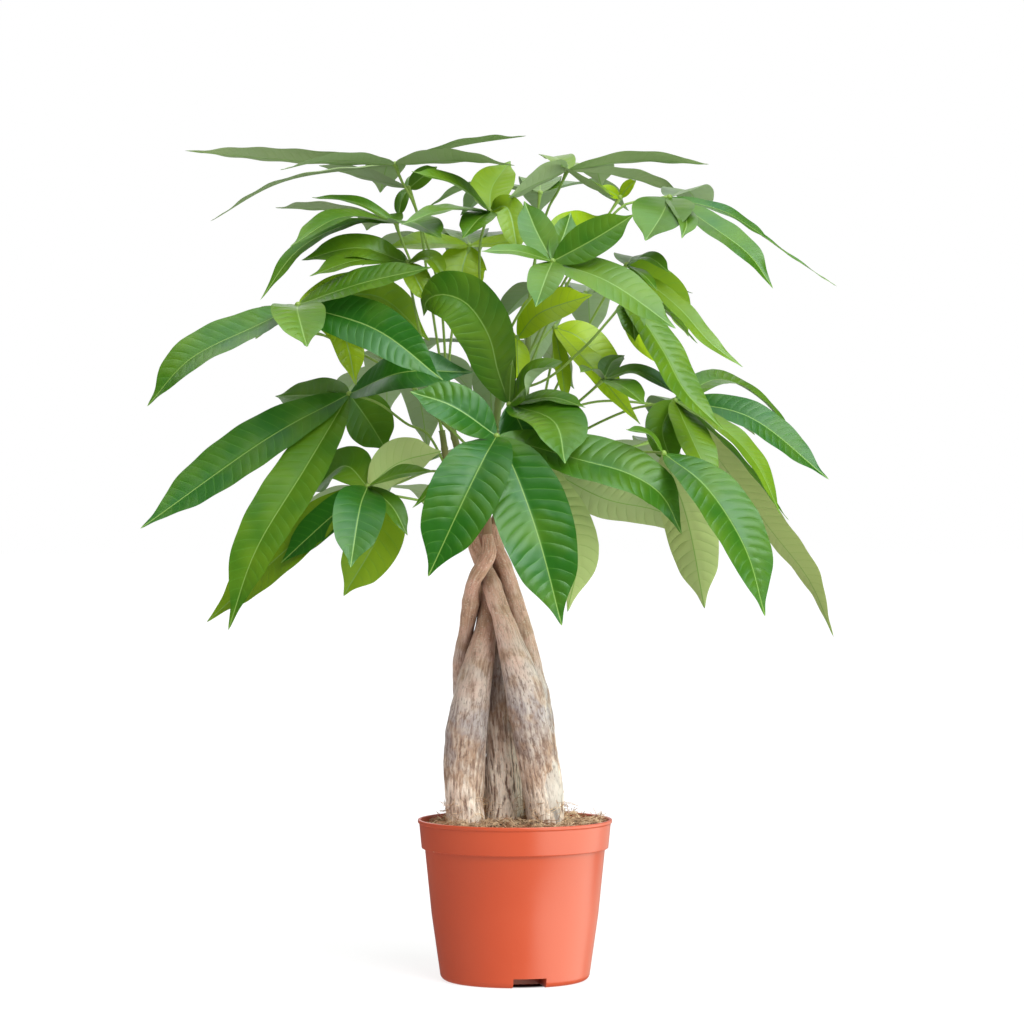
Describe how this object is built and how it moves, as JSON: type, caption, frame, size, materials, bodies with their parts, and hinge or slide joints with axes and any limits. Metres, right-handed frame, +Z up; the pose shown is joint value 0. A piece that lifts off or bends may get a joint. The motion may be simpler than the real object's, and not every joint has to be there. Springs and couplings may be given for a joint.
{
  "type": "potted money tree",
  "caption": "House plant with braided woody stems and a wide crown of compound leaves, standing in a round tapered plastic pot filled with soil.",
  "frame": {"origin": "centre of the pot's underside, on the surface that the pot stands on", "axes": "+Z up, -Y towards the side of the plant that the picture shows, +X to that side's right"},
  "size_m": [0.6035, 0.4825, 0.7421],
  "materials": {
    "pot": "satin moulded terracotta-coloured plastic",
    "soil": "rough potting mix with coconut fibre",
    "bark": "grey-brown fissured bark",
    "green_bark": "smooth green shoot",
    "leaf": "glossy leaf"
  },
  "bodies": {
    "root": {"pot": "pot", "soil": "soil", "stem_front_left": "bark", "stem_middle": "bark", "stem_front_right": "bark", "stem_back_right": "bark", "stem_back_left": "bark", "shoot_front_left": "green_bark", "shoot_middle": "green_bark", "shoot_front_right": "green_bark", "shoot_back_right": "green_bark", "shoot_back_left": "green_bark", "leaf_top_left": "leaf", "leaf_top_left_small": "leaf", "leaf_upper_left": "leaf", "leaf_left_radiating": "leaf", "leaf_left": "leaf", "leaf_lower_left": "leaf", "leaf_low_left": "leaf", "leaf_front": "leaf", "leaf_centre": "leaf", "leaf_bright": "leaf", "leaf_backlit": "leaf", "leaf_mid_right": "leaf", "leaf_top_middle": "leaf", "leaf_top_right": "leaf", "leaf_upper_front": "leaf", "leaf_upper_right": "leaf", "leaf_young": "leaf", "leaf_right_slender": "leaf", "leaf_right_glossy": "leaf", "leaf_right": "leaf", "leaf_low_right": "leaf", "leaf_back_upper_left": "leaf", "leaf_back_upper_right": "leaf", "leaf_back_left": "leaf", "leaf_back_right": "leaf", "leaf_back_low": "leaf", "leaf_back_low_left": "leaf", "leaf_back_top": "leaf", "leaf_back_middle": "leaf", "leaf_back_far_left": "leaf", "leaf_back_far_right": "leaf"}
  },
  "joints": []
}
